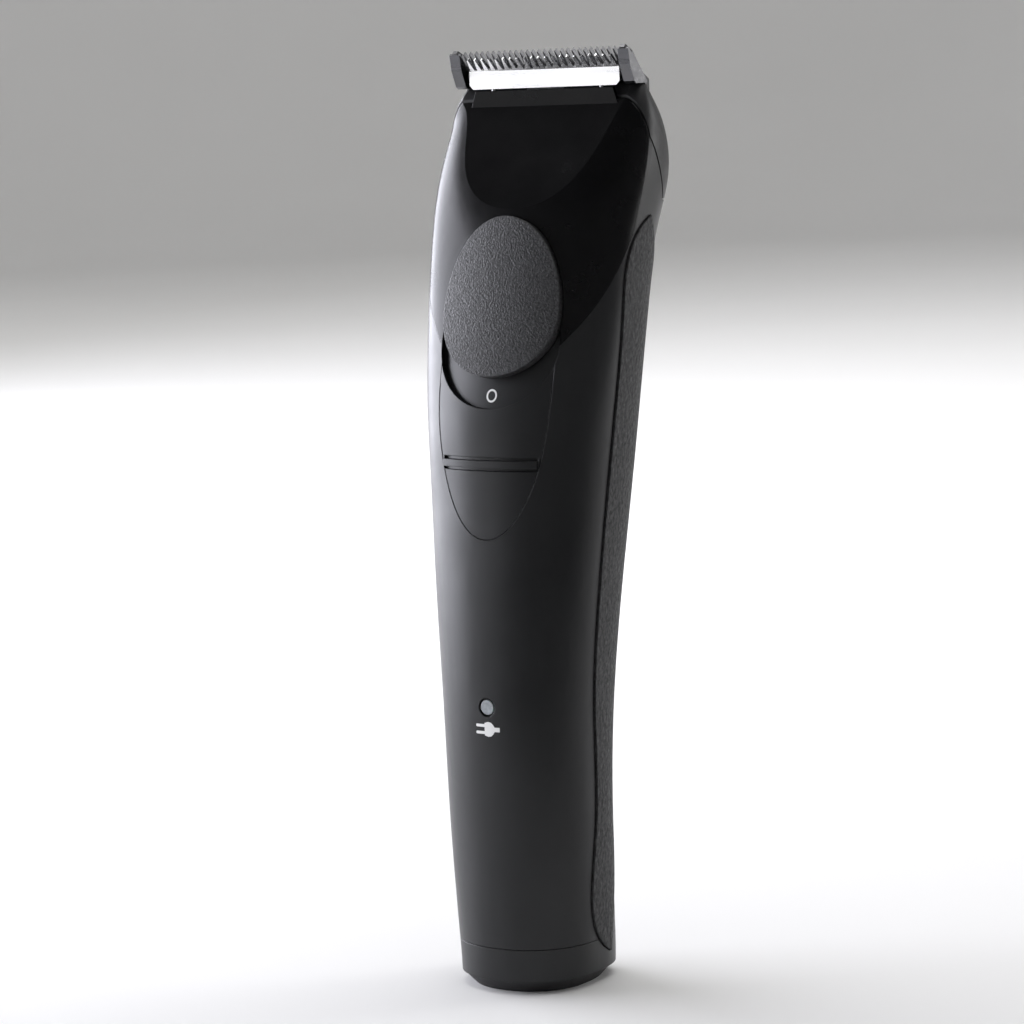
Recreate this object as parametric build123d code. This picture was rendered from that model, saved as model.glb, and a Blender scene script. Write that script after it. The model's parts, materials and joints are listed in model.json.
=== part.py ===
from build123d import *
import math
import os

# Cordless hair clipper, millimetres. The foot stands on z = 0, the switch faces -Y and the
# blades are at the top. The origin is the middle of the foot's underside.

# Body sections from foot to crown: height, half width, front, widest line and back.
FOOT_SECTION = (0.0, 12.4, -12.4, -0.2, 12.4)
RING_SECTION = (8.0, 12.8, -12.3, 0.2, 12.2)
WAIST_SECTION = (28.0, 13.8, -11.7, -0.8, 10.7)
GRIP_SECTION = (48.0, 14.3, -11.6, -0.6, 12.3)
BELLY_SECTION = (68.0, 15.6, -10.5, 0.4, 15.4)
PALM_SECTION = (88.0, 17.2, -8.8, 2.5, 18.8)
RAMP_SECTION = (99.0, 18.1, -7.5, 3.6, 20.4)
THUMB_SECTION = (113.0, 19.2, -3.6, 5.6, 22.2)
NECK_SECTION = (128.0, 20.1, 0.6, 9.0, 26.2)
CROWN_SECTION = (138.0, 20.8, 5.0, 13.2, 28.8)
BROW_SECTION = (147.0, 19.9, 10.6, 15.8, 24.4)
TOP_SECTION = (152.5, 17.6, 14.6, 17.2, 20.6)
FRONT_FULLNESS = 2.2
BACK_FULLNESS = 2.8
SECTION_POINTS = 32

# Shell thickness and the gaps between pieces.
WALL = 1.8
SEAM_GAP = 0.10
BLOCK_GAP = 0.30
RUNNING_GAP = 0.05
PIN_GAP = 0.03
YOKE_GAP = 0.12
SLIDE_GAP = 0.25
CHEEK_GAP = 0.30
FORK_GAP = 0.15

# The head's flat front facet, as two points of its line in the side view.
FACET_LOW = (1.4, 130.9)
FACET_HIGH = (14.2, 150.0)

# The removable blade block: its front and lower edges in the side view.
BLOCK_FRONT = 14.1
BLOCK_BEND = 143.0
BLOCK_HEEL = 19.2
BLOCK_FLOOR = 132.2
BLOCK_WALL = 1.5
DECK_THICKNESS = 1.9
HOUSING_TOP = 150.0

# The knuckle that the blade block opens on, at the housing's rear edge.
HINGE_BACK = 27.3
KNUCKLE_RADIUS = 0.9
KNUCKLE_HALF_LENGTH = 4.5
KNUCKLE_GAP = 0.15

# Upright lip along the facet's top edge, under the cutting bar.
LIP_FRONT = 13.35
LIP_TOP = 151.5
LIP_HALF_WIDTH = 15.0
LIP_CORNER = 1.0

# The upper cover's lower seam in the side view.
COVER_SEAM_TOP = (14.3, 143.4)
COVER_SEAM_BEND = (9.0, 128.0)
COVER_SEAM_LOW = (-3.3, 108.7)
PARTING_DROP = 1.2

# Rubber grips: the tips and the rear edge, as side-view points.
GRIP_TOP = (13.9, 130.0)
GRIP_SHOULDER = (19.2, 113.0)
GRIP_HIP = (14.8, 84.0)
GRIP_HEEL = (8.2, 36.0)
GRIP_TIP = (4.4, 4.8)
GRIP_INLAY = 1.0
GRIP_PROUD = 0.35

# Base.
RING_SEAM = 7.8
FOOT_HEIGHT = 2.2
FOOT_BEVEL = 2.2
CAP_FLOOR = 1.6
SPIGOT_HEIGHT = 2.2
SPIGOT_WALL = 1.1

# Thumb switch: its middle and the straight ramp that it slides on.
PAD_LOW = 104.2
PAD_TOP = 130.6
PAD_WAIST = 115.0
PAD_HALF_WIDTH = 11.7
PAD_CROWN_RADIUS = 40.0
PAD_PROUD = 1.0
PAD_SOLE = 0.55
TRACK_DEPTH = 0.85
PAD_TRAVEL = 5.0
STEM_WIDTH = 6.0
STEM_LENGTH = 8.0
STEM_DEPTH = 3.6
SLIDER_THICKNESS = 1.4
SWITCH_BOARD_THICKNESS = 1.0

# Tongue-shaped switch panel.
PANEL_TOP = 103.0
PANEL_LOW = 77.3
PANEL_HALF_WIDTH = 11.3
PANEL_THICKNESS = 1.1
RIDGE_HEIGHT = 89.9
RIDGE_WIDTH = 19.0
RIDGE_THICKNESS = 1.2
RIDGE_PROUD = 0.35
GROOVE_WIDTH = 0.55

# Charge lamp.
LAMP_HEIGHT = 49.1
LAMP_RADIUS = 1.25
LAMP_BEZEL = 0.35

# Blades: the line of the fixed tips and the lean of the blade plane.
TIP_FRONT = 12.0
TIP_HEIGHT = 157.8
BLADE_LEAN = 40.0
FIXED_THICKNESS = 0.8
FIXED_HEIGHT = 8.0
FIXED_HALF_WIDTH = 18.2
FIXED_TEETH = 27
FIXED_PITCH = 1.17
FIXED_TOOTH_LENGTH = 3.2
MOVING_THICKNESS = 0.6
MOVING_SETBACK = 0.75
MOVING_TEETH = 21
MOVING_PITCH = 1.45
MOVING_TOOTH_LENGTH = 2.3
TOOTH_SHARE = 0.62
BAR_HALF_WIDTH = 15.3
BAR_FRONT = 13.6
BAR_LOW = 151.8
BAR_TOP = 154.9
BAR_CORNER = 0.7
STROKE = 0.7
GUARD_GAP = 0.1
GUARD_KNEE = (12.4, 155.2)

# Drive.
MOTOR_RADIUS = 10.2
MOTOR_DEPTH = 15.4
MOTOR_LENGTH = 25.0
MOTOR_FLOOR = 72.0
MOTOR_Y = 5.5
MOTOR_WALL = 1.0
ARMATURE_RADIUS = 6.0
ARMATURE_LENGTH = 14.0
MAGNET_DEPTH = 5.0
SHAFT_RADIUS = 1.0
CAM_RADIUS = 4.0
CAM_THICKNESS = 2.4
CAM_PIN_RADIUS = 1.0
CAM_PIN_LENGTH = 4.0
CAM_OFFSET = 0.3
LEVER_PIVOT = 118.0
LEVER_WIDTH = 4.0
LEVER_TIP_WIDTH = 2.5
LEVER_THICKNESS = 2.2
LEVER_TOP = 149.6
LEVER_TIP_FRONT = 15.2
LEVER_KNEE = 138.0
PIVOT_RADIUS = 1.25
RAIL_GAP = 0.4
RAIL_THICKNESS = 1.3
RAIL_DEPTH = 2.8
FRAME_DEPTH = 6.0
FRAME_PLATE = 1.6
FRAME_MOUTH = 3.2
CHEEK_THICKNESS = 1.6
CHEEK_REACH = 3.0
HUB_WALL = 1.6
HUB_HALF_DEPTH = 2.6
LEVER_BEND_RISE = 12.0
TIP_TRIM_LENGTH = 5.0
CAM_RISE = 2.4
YOKE_WALL = 2.6
YOKE_PLATE = 1.3
YOKE_DROP = 4.0
WINDOW_MARGIN = 0.6

# Power.
CELL_RADIUS = 7.1
CELL_LENGTH = 49.2
CELL_FLOOR = 11.6
CELL_Y = 0.2
HOLDER_WALL = 0.7
HOLDER_END = 1.2
HOLDER_FLOOR = 1.0
HOLDER_WINDOW = 5.0
TAB_THICKNESS = 0.4
TAB_HALF_WIDTH = 2.5
CELL_CAP_RADIUS = 2.7
CELL_CAP_HEIGHT = 1.0
CHIP_SIZE = 1.6
BOARD_THICKNESS = 1.0
BOARD_HALF_WIDTH = 4.6
BOARD_LOW = 14.0
BOARD_HIGH = 58.0
INLET_Y = 5.0
INLET_RADIUS = 3.2
INLET_BORE = 1.8
INLET_MOUTH = 0.4
INLET_DEPTH = 8.0
INLET_BACK = 0.8
CONTACT_X = 1.6
CONTACT_HALF_WIDTH = 0.4
SEAL_HEIGHT = 1.0

# Screws, springs and leads.
SCREW_RADIUS = 0.9
SCREW_HEAD_RADIUS = 1.5
SCREW_HEAD_HEIGHT = 0.8
MOTOR_SCREW_HEAD = 0.7
BASE_SCREW_X = 5.5
BASE_SCREW_Y = -2.5
MOTOR_SCREW_X = 6.5
BLADE_SCREW_X = 9.0
BLADE_SCREW_DROP = 6.2
BLADE_SCREW_RADIUS = 0.7
BLADE_SCREW_HEAD = 1.2
SPRING_WIRE = 0.35
SPRING_INNER = 5.4
SPRING_OUTER = 11.0
LEAD_RADIUS = 0.6
LEAD_X = 1.6

SECTIONS = [
    FOOT_SECTION,
    RING_SECTION,
    WAIST_SECTION,
    GRIP_SECTION,
    BELLY_SECTION,
    PALM_SECTION,
    RAMP_SECTION,
    THUMB_SECTION,
    NECK_SECTION,
    CROWN_SECTION,
    BROW_SECTION,
    TOP_SECTION,
]
FAR = 60.0


def outline(section, grow=0.0):
    """Closed egg-shaped wire of one body section, moved outwards by grow."""
    height, half, front, seam, back = section
    points = []
    for step in range(SECTION_POINTS):
        angle = 2 * math.pi * step / SECTION_POINTS
        across, along = math.cos(angle), math.sin(angle)
        fullness = FRONT_FULLNESS if along < 0 else BACK_FULLNESS
        reach = seam - front if along < 0 else back - seam
        x = (half + grow) * math.copysign(abs(across) ** (2 / fullness), across)
        y = seam + (reach + grow) * math.copysign(abs(along) ** (2 / fullness), along)
        points.append((x, y, height))
    return Wire([Edge.make_spline([Vector(*p) for p in points], periodic=True)])


def side_prism(points, half_width=FAR):
    """Prism along X of a polygon drawn in the side view as (y, z) points."""
    face = Face(Wire.make_polygon([Vector(-half_width, y, z) for y, z in points]))
    return Solid.extrude(face, Vector(2 * half_width, 0, 0))


def block(x0, x1, y0, y1, z0, z1):
    """Box between two corners."""
    middle = ((x0 + x1) / 2, (y0 + y1) / 2, (z0 + z1) / 2)
    return Pos(*middle) * Box(x1 - x0, y1 - y0, z1 - z0)


def rod(start, end, radius):
    """Cylinder between two points."""
    start, end = Vector(*start), Vector(*end)
    plane = Plane(origin=start, z_dir=end - start)
    return plane * Cylinder(radius, (end - start).length, align=(Align.CENTER, Align.CENTER, Align.MIN))


def one(shape):
    """The shape as one compound of its solids, without slivers."""
    solids = [s for s in shape.solids() if s.volume > 0.02]
    return solids[0] if len(solids) == 1 else Compound(children=solids)


FACET_SLOPE = (FACET_HIGH[0] - FACET_LOW[0]) / (FACET_HIGH[1] - FACET_LOW[1])
FACET_NORMAL = Vector(0, -1, FACET_SLOPE).normalized()


def facet_cutter(grow=0.0):
    """Everything in front of the head's flat facet, moved outwards by grow."""
    low = Vector(0, *FACET_LOW) + FACET_NORMAL * grow
    plane = Plane(origin=low, x_dir=(1, 0, 0), z_dir=FACET_NORMAL)
    return plane * Box(2 * FAR, 2 * FAR, FAR, align=(Align.CENTER, Align.CENTER, Align.MIN))


def body(grow=0.0):
    """The whole outer form, moved outwards by grow."""
    form = Solid.make_loft([outline(section, grow) for section in SECTIONS])
    return form - facet_cutter(grow)


def interpolate(height, index):
    """A section value at any height, straight between stations."""
    for low, high in zip(SECTIONS, SECTIONS[1:]):
        if low[0] <= height <= high[0]:
            share = (height - low[0]) / (high[0] - low[0])
            return low[index] + share * (high[index] - low[index])
    return SECTIONS[-1][index]


def block_region(gap=0.0):
    """Side-view region of the blade block, shrunk by gap."""
    return side_prism([
        (BLOCK_FRONT + gap, FAR * 3),
        (BLOCK_FRONT + gap, BLOCK_BEND),
        (BLOCK_HEEL + gap, BLOCK_FLOOR + gap),
        (FAR, BLOCK_FLOOR + gap),
        (FAR, FAR * 3),
    ])


def cover_region():
    """Side-view region of the upper cover."""
    top, bend, low = COVER_SEAM_TOP, COVER_SEAM_BEND, COVER_SEAM_LOW
    slope = (bend[0] - low[0]) / (bend[1] - low[1])
    far_front = (low[0] - FAR, low[1] - FAR / slope)
    return side_prism([
        (BLOCK_FRONT, FAR * 3),
        (BLOCK_FRONT, top[1]),
        bend,
        low,
        far_front,
        (far_front[0], FAR * 3),
    ])


def front_region():
    """Side-view region in front of the parting line."""
    line = [(section[3], section[0]) for section in SECTIONS if section[0] < NECK_SECTION[0]]
    end = COVER_SEAM_BEND[1] - PARTING_DROP
    line.append((interpolate(end, 3), end))
    return side_prism([(-FAR, -1.0), (line[0][0], -1.0), *line, (-FAR, end)])


def grip_region(side, gap=0.0):
    """Side-view region of one grip: side is 1 for +X and -1 for -X."""
    front = []
    for section in (RING_SECTION, WAIST_SECTION, GRIP_SECTION, BELLY_SECTION, PALM_SECTION):
        front.append((section[3] + gap, section[0]))
    front.append((THUMB_SECTION[3] - 0.3 + gap, THUMB_SECTION[0]))
    front.append((COVER_SEAM_BEND[0] - 0.9 + gap, COVER_SEAM_BEND[1] - 2.4))
    front.append((GRIP_TOP[0], GRIP_TOP[1] - gap))
    rear = [(y - gap, z) for y, z in (GRIP_SHOULDER, GRIP_HIP, GRIP_HEEL)]
    tip = (GRIP_TIP[0], GRIP_TIP[1] + gap)
    points = [Vector(0, y, z) for y, z in [tip, *front]]
    back = [Vector(0, y, z) for y, z in [(GRIP_TOP[0], GRIP_TOP[1] - gap), *rear, tip]]
    face = Face(Wire([Edge.make_spline(points), Edge.make_spline(back)]))
    return Solid.extrude(face, Vector(side * FAR, 0, 0))


# Whole forms that the pieces are cut from.
skin = body()
core = body(-WALL)
front_wall_region = side_prism([
    (BLOCK_FRONT - WALL, HOUSING_TOP - WALL),
    (BLOCK_FRONT - WALL, BLOCK_BEND - WALL / 2),
    (BLOCK_HEEL - WALL, BLOCK_FLOOR - WALL),
    (FAR, BLOCK_FLOOR - WALL),
    (FAR, -1.0),
    (-FAR, -1.0),
    (-FAR, HOUSING_TOP - WALL),
])
housing = skin - block_region(-BLOCK_GAP / 2) - block(-FAR, FAR, -FAR, FAR, HOUSING_TOP, 3 * FAR)
housing -= core & front_wall_region
housing -= block(-FAR, FAR, -FAR, FAR, -FAR, RING_SEAM)

# The lever's window through the sloping wall behind the head.
swing = STROKE * 1.2
window_half = LEVER_WIDTH / 2 + swing + SLIDE_GAP
lever_window = block(-window_half, window_half, LEVER_TIP_FRONT - 6.0, FAR,
                     BLOCK_FLOOR + WINDOW_MARGIN, BLOCK_BEND - 1.0)
housing -= lever_window



def knuckle(gap):
    """The blade block's hinge knuckle, grown by gap."""
    half, height = KNUCKLE_HALF_LENGTH + gap, BLOCK_FLOOR - BLOCK_GAP / 2
    return rod((-half, HINGE_BACK, height), (half, HINGE_BACK, height), KNUCKLE_RADIUS + gap)


housing -= knuckle(KNUCKLE_GAP)

# Grip recesses, cut slightly larger than the grips.
grip_layer = body(GRIP_PROUD) - body(-GRIP_INLAY)
recess_layer = body(2.0) - body(-GRIP_INLAY)
grips = {side: grip_layer & grip_region(side, SEAM_GAP) for side in (1, -1)}
recesses = [recess_layer & grip_region(side, -SEAM_GAP) for side in (1, -1)]
for recess in recesses:
    housing -= recess

# Thumb switch on its ramp: u is +X, v runs up the ramp and w points out of it.
ramp_slope = (NECK_SECTION[2] - RAMP_SECTION[2]) / (NECK_SECTION[0] - RAMP_SECTION[0])
ramp_up = Vector(0, ramp_slope, 1).normalized()
pad_front = RAMP_SECTION[2] + ramp_slope * (PAD_WAIST - RAMP_SECTION[0])
ramp = Plane(origin=(0, pad_front, PAD_WAIST), x_dir=(1, 0, 0), z_dir=Vector(0, -1, ramp_slope))
upright = math.hypot(1.0, ramp_slope)
pad_up = (PAD_TOP - PAD_WAIST) * upright
pad_down = (PAD_WAIST - PAD_LOW) * upright


def egg(half, up, down, low, high):
    """Egg-shaped prism on the ramp, from depth low to depth high."""
    upper = EllipticalCenterArc((0, 0), half, up, start_angle=0, arc_size=180)
    lower = EllipticalCenterArc((0, 0), half, down, start_angle=180, arc_size=180)
    face = make_face(upper.edges() + lower.edges())
    return ramp * (Pos(0, 0, low) * extrude(face, high - low))


def crown(level, length=2 * FAR):
    """Cylinder along the ramp whose crest stands level above the body."""
    centre = ramp * Pos(0, 0, level - PAD_CROWN_RADIUS)
    return centre * Rot(90, 0, 0) * Cylinder(PAD_CROWN_RADIUS, length)


pad = egg(PAD_HALF_WIDTH, pad_up, pad_down, -4.0, 4.0) & (crown(PAD_PROUD) - crown(-PAD_SOLE))
stem_half = STEM_WIDTH / 2
stem = ramp * block(-stem_half, stem_half, -STEM_LENGTH / 2, STEM_LENGTH / 2, -STEM_DEPTH, -PAD_SOLE + 0.2)
slider = ramp * block(-stem_half - 1.5, stem_half + 1.5, -STEM_LENGTH / 2 - 1, STEM_LENGTH / 2 + 1,
                      -STEM_DEPTH - SLIDER_THICKNESS, -STEM_DEPTH)


def pocket(gap):
    """Deep prism round every position of the pad, grown by gap."""
    high = egg(PAD_HALF_WIDTH + gap, pad_up + gap, pad_down + gap, -6.0, 8.0)
    return high + high.moved(Location(ramp_up * -PAD_TRAVEL))


track = pocket(SLIDE_GAP) - crown(-TRACK_DEPTH)
slot_half = stem_half + SLIDE_GAP
slot = ramp * block(-slot_half, slot_half, -STEM_LENGTH / 2 - PAD_TRAVEL - SLIDE_GAP,
                    STEM_LENGTH / 2 + SLIDE_GAP, -STEM_DEPTH - 2, 4.0)
slider_room = ramp * block(-stem_half - 2, stem_half + 2, -STEM_LENGTH / 2 - 1.5 - PAD_TRAVEL,
                           STEM_LENGTH / 2 + 1.5, -STEM_DEPTH - 4, -STEM_DEPTH + SLIDE_GAP)

# Tongue panel.
panel_span = PANEL_TOP - PANEL_LOW


def tongue(gap):
    """Tongue-shaped prism along Y, grown by gap."""
    half = PANEL_HALF_WIDTH + gap
    arc = EllipticalCenterArc((0, 0), half, panel_span + gap, start_angle=180, arc_size=180)
    rise = PAD_WAIST - PANEL_TOP
    lid = Polyline((half, 0), (half, rise), (-half, rise), (-half, 0))
    face = make_face(arc.edges() + lid.edges())
    plane = Plane(origin=(0, 0, PANEL_TOP), x_dir=(1, 0, 0), z_dir=(0, -1, 0))
    return plane * extrude(face, FAR)


cover_zone = cover_region()
panel_bed = body(-PANEL_THICKNESS)
panel = ((skin - panel_bed) & tongue(0.0)) - cover_zone - pocket(SLIDE_GAP + SEAM_GAP)
ridge_half = RIDGE_WIDTH / 2
ridge_box = block(-ridge_half, ridge_half, -FAR, 0, RIDGE_HEIGHT - RIDGE_THICKNESS / 2,
                  RIDGE_HEIGHT + RIDGE_THICKNESS / 2)
panel += (body(RIDGE_PROUD) - panel_bed) & ridge_box
for side in (1, -1):
    middle = RIDGE_HEIGHT + side * (RIDGE_THICKNESS + GROOVE_WIDTH) / 2
    groove = block(-ridge_half, ridge_half, -FAR, 0, middle - GROOVE_WIDTH / 2, middle + GROOVE_WIDTH / 2)
    panel -= groove - body(-RIDGE_PROUD - 0.15)
panel_recess = ((body(2.0) - panel_bed) & tongue(SEAM_GAP)) - cover_zone - pocket(SLIDE_GAP)

upper_cover = (housing & cover_zone) - track - slot - slider_room
lip_low = FACET_LOW[1] + (LIP_FRONT - FACET_LOW[0]) / FACET_SLOPE - 0.3
lip_points = [
    (-LIP_HALF_WIDTH, lip_low),
    (-LIP_HALF_WIDTH + LIP_CORNER, LIP_TOP),
    (LIP_HALF_WIDTH - LIP_CORNER, LIP_TOP),
    (LIP_HALF_WIDTH, lip_low),
]
lip_face = Face(Wire.make_polygon([Vector(x, LIP_FRONT, z) for x, z in lip_points]))
upper_cover += Solid.extrude(lip_face, Vector(0, BLOCK_FRONT - BLOCK_GAP / 2 - LIP_FRONT, 0))
front_zone = front_region() - cover_zone
rear_zone = block(-FAR, FAR, -FAR, FAR, -1.0, HOUSING_TOP + 1.0) - cover_zone - front_zone
front_housing = (housing & front_zone) - panel_recess - track - slot
rear_housing = housing & rear_zone

# Charge lamp: a lens in a bored hole with a dark bezel groove.
lamp_front = interpolate(LAMP_HEIGHT, 2)
lamp_start = (0, lamp_front - 2, LAMP_HEIGHT)
lamp_bore = rod(lamp_start, (0, lamp_front + WALL + 0.5, LAMP_HEIGHT), LAMP_RADIUS)
lamp_groove = rod(lamp_start, (0, lamp_front + 0.6, LAMP_HEIGHT), LAMP_RADIUS + LAMP_BEZEL)
front_housing = front_housing - lamp_bore - lamp_groove
holder_radius = CELL_RADIUS + RUNNING_GAP + HOLDER_WALL
board_back = CELL_Y - holder_radius
board_front = board_back - BOARD_THICKNESS
chip_half = CHIP_SIZE / 2
chip_front = board_front - chip_half
lamp_lens = rod((0, lamp_front + 0.1, LAMP_HEIGHT), (0, chip_front, LAMP_HEIGHT), LAMP_RADIUS)
lamp_chip = block(-chip_half, chip_half, chip_front, board_front,
                  LAMP_HEIGHT - chip_half, LAMP_HEIGHT + chip_half)

# Base cap, foot and charging inlet.
spigot_slice = block(-FAR, FAR, -FAR, FAR, RING_SEAM - SEAM_GAP, RING_SEAM + SPIGOT_HEIGHT)
spigot = (body(-WALL - SEAM_GAP) - body(-WALL - SEAM_GAP - SPIGOT_WALL)) & spigot_slice
cap_slice = block(-FAR, FAR, -FAR, FAR, FOOT_HEIGHT, RING_SEAM - SEAM_GAP)
cap_room = body(-WALL - SEAM_GAP - SPIGOT_WALL) & block(-FAR, FAR, -FAR, FAR, FOOT_HEIGHT + CAP_FLOOR, FAR)
base_cap = (skin & cap_slice) - cap_room
base_cap += spigot
inlet_hole = rod((0, INLET_Y, -1), (0, INLET_Y, FOOT_HEIGHT + CAP_FLOOR + 1), INLET_RADIUS)
base_cap -= inlet_hole
for recess in recesses:
    base_cap -= recess
foot_wires = [outline(FOOT_SECTION, -FOOT_BEVEL), outline((FOOT_HEIGHT, *FOOT_SECTION[1:]), -0.2)]
foot = Solid.make_loft(foot_wires, ruled=True) - inlet_hole
inlet_top = INLET_MOUTH + INLET_DEPTH
inlet_back = inlet_top + INLET_BACK
inlet_body = rod((0, INLET_Y, INLET_MOUTH), (0, INLET_Y, inlet_back), INLET_RADIUS)
inlet_body -= rod((0, INLET_Y, INLET_MOUTH - 1), (0, INLET_Y, inlet_top), INLET_BORE)
tags = []
for side in (1, -1):
    x = side * CONTACT_X
    tags.append(block(x - CONTACT_HALF_WIDTH, x + CONTACT_HALF_WIDTH, INLET_Y - 2 * CONTACT_HALF_WIDTH,
                      INLET_Y + 2 * CONTACT_HALF_WIDTH, inlet_back, inlet_back + 2 * CONTACT_HALF_WIDTH))
seal_low = RING_SEAM + SPIGOT_HEIGHT
seal_slice = block(-FAR, FAR, -FAR, FAR, seal_low, seal_low + SEAL_HEIGHT)
base_seal = (body(-WALL - SEAM_GAP) - body(-WALL - SEAM_GAP - SPIGOT_WALL)) & seal_slice

# Cell, its holder and the circuit board.
cell_top = CELL_FLOOR + CELL_LENGTH
cell_shoulder = cell_top - CELL_CAP_HEIGHT
cell = rod((0, CELL_Y, CELL_FLOOR), (0, CELL_Y, cell_shoulder), CELL_RADIUS)
cell += rod((0, CELL_Y, cell_shoulder), (0, CELL_Y, cell_top), CELL_CAP_RADIUS)
room_low = CELL_FLOOR - TAB_THICKNESS
room_high = cell_top + TAB_THICKNESS
holder_low = room_low - HOLDER_FLOOR
holder_high = room_high + HOLDER_END
holder = rod((0, CELL_Y, holder_low), (0, CELL_Y, holder_high), holder_radius)
holder -= rod((0, CELL_Y, room_low), (0, CELL_Y, room_high), CELL_RADIUS + RUNNING_GAP)
holder -= block(-HOLDER_WINDOW, HOLDER_WINDOW, -FAR, CELL_Y - 2.0, CELL_FLOOR + 4, cell_top - 4)
cell_tabs = []
for low in (room_low, cell_top):
    cell_tabs.append(block(-TAB_HALF_WIDTH, TAB_HALF_WIDTH, CELL_Y - 3, CELL_Y + 3, low, low + TAB_THICKNESS))
board = block(-BOARD_HALF_WIDTH, BOARD_HALF_WIDTH, board_front, board_back, BOARD_LOW, BOARD_HIGH)

# Drive frame, motor, cam and lever.
motor_top = MOTOR_FLOOR + MOTOR_LENGTH
motor_round = rod((0, MOTOR_Y, MOTOR_FLOOR), (0, MOTOR_Y, motor_top), MOTOR_RADIUS)
motor_half = MOTOR_DEPTH / 2
motor_flat = block(-FAR, FAR, MOTOR_Y - motor_half, MOTOR_Y + motor_half, 0, 3 * FAR)
motor_all = motor_round & motor_flat
cap_line = MOTOR_FLOOR + 3.0
motor_cap = motor_all & block(-FAR, FAR, -FAR, FAR, 0, cap_line)
motor_can = motor_all & block(-FAR, FAR, -FAR, FAR, cap_line, 3 * FAR)
shaft_bore = rod((0, MOTOR_Y, MOTOR_FLOOR + 1), (0, MOTOR_Y, motor_top + 5), SHAFT_RADIUS + PIN_GAP)
motor_cap -= shaft_bore
motor_can -= shaft_bore
bore_half = motor_half - MOTOR_WALL
bore_flat = block(-FAR, FAR, MOTOR_Y - bore_half, MOTOR_Y + bore_half, 0, 3 * FAR)
can_room = rod((0, MOTOR_Y, cap_line), (0, MOTOR_Y, motor_top - MOTOR_WALL), MOTOR_RADIUS - MOTOR_WALL)
motor_can -= can_room & bore_flat
armature_floor = (cap_line + motor_top - MOTOR_WALL - ARMATURE_LENGTH) / 2
armature_top = armature_floor + ARMATURE_LENGTH
armature = rod((0, MOTOR_Y, armature_floor), (0, MOTOR_Y, armature_top), ARMATURE_RADIUS)
armature -= rod((0, MOTOR_Y, armature_floor), (0, MOTOR_Y, armature_top), SHAFT_RADIUS)
magnets = rod((0, MOTOR_Y, armature_floor), (0, MOTOR_Y, armature_top), MOTOR_RADIUS - MOTOR_WALL)
magnets -= rod((0, MOTOR_Y, 0), (0, MOTOR_Y, 3 * FAR), ARMATURE_RADIUS + 0.4)
magnets &= block(-FAR, FAR, MOTOR_Y - MAGNET_DEPTH, MOTOR_Y + MAGNET_DEPTH, 0, 3 * FAR)
cam_floor = motor_top + CAM_RISE
cam_top = cam_floor + CAM_THICKNESS
pin_top = cam_top + CAM_PIN_LENGTH
shaft_end = (0, MOTOR_Y, cam_floor + CAM_THICKNESS * 0.75)
shaft = rod((0, MOTOR_Y, MOTOR_FLOOR + 1.2), shaft_end, SHAFT_RADIUS)
cam = rod((0, MOTOR_Y, cam_floor), (0, MOTOR_Y, cam_top), CAM_RADIUS)
cam += rod((CAM_OFFSET, MOTOR_Y, cam_floor), (CAM_OFFSET, MOTOR_Y, pin_top), CAM_PIN_RADIUS)
cam -= rod((0, MOTOR_Y, cam_floor - 1), shaft_end, SHAFT_RADIUS)

frame_floor = MOTOR_FLOOR - FRAME_PLATE
rail_inner = MOTOR_RADIUS + RAIL_GAP
rail_outer = rail_inner + RAIL_THICKNESS
plate_top = motor_top + FRAME_PLATE
pivot_low = LEVER_PIVOT - CHEEK_REACH
pivot_high = LEVER_PIVOT + CHEEK_REACH
frame_slab = block(-FAR, FAR, MOTOR_Y - FRAME_DEPTH, MOTOR_Y + FRAME_DEPTH, 0, 3 * FAR)
drive_frame = rod((0, MOTOR_Y, frame_floor), (0, MOTOR_Y, MOTOR_FLOOR), rail_outer) & frame_slab
drive_frame += rod((0, MOTOR_Y, motor_top), (0, MOTOR_Y, plate_top), rail_outer) & frame_slab
rail_spans = ((rail_inner, rail_outer), (-rail_outer, -rail_inner))
for near, far in rail_spans:
    drive_frame += block(near, far, MOTOR_Y - RAIL_DEPTH, MOTOR_Y + RAIL_DEPTH, frame_floor, pivot_high)
drive_frame -= rod((0, MOTOR_Y, 0), (0, MOTOR_Y, 3 * FAR), FRAME_MOUTH)

lever_low = cam_top + 0.6
lever_bend = cam_floor + LEVER_BEND_RISE
lever_face = MOTOR_Y - LEVER_THICKNESS / 2
lever_slope = (LEVER_TIP_FRONT - lever_face) / (LEVER_KNEE - lever_bend)
lever_bar = side_prism([
    (lever_face, lever_low),
    (lever_face, lever_bend),
    (LEVER_TIP_FRONT, LEVER_KNEE),
    (LEVER_TIP_FRONT, LEVER_TOP),
    (LEVER_TIP_FRONT + LEVER_THICKNESS, LEVER_TOP),
    (LEVER_TIP_FRONT + LEVER_THICKNESS, LEVER_KNEE),
    (lever_face + LEVER_THICKNESS, lever_bend),
    (lever_face + LEVER_THICKNESS, lever_low),
], LEVER_WIDTH / 2)
tip_trim = LEVER_TOP - TIP_TRIM_LENGTH
tip_half = LEVER_TIP_WIDTH / 2
for near, far in ((tip_half, FAR), (-FAR, -tip_half)):
    lever_bar -= block(near, far, -FAR, FAR, tip_trim, 3 * FAR)
pivot_y = lever_face + (LEVER_PIVOT - lever_bend) * lever_slope + LEVER_THICKNESS / 2
hub_front = pivot_y - HUB_HALF_DEPTH
hub_back = pivot_y + HUB_HALF_DEPTH
lever = lever_bar + rod((0, hub_front, LEVER_PIVOT), (0, hub_back, LEVER_PIVOT), PIVOT_RADIUS + HUB_WALL)
fork_half = CAM_PIN_RADIUS + CAM_OFFSET
fork_swing = STROKE * (LEVER_PIVOT - lever_low) / (LEVER_TOP - 1.5 - LEVER_PIVOT)
fork_slot = fork_half + fork_swing + FORK_GAP
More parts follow.
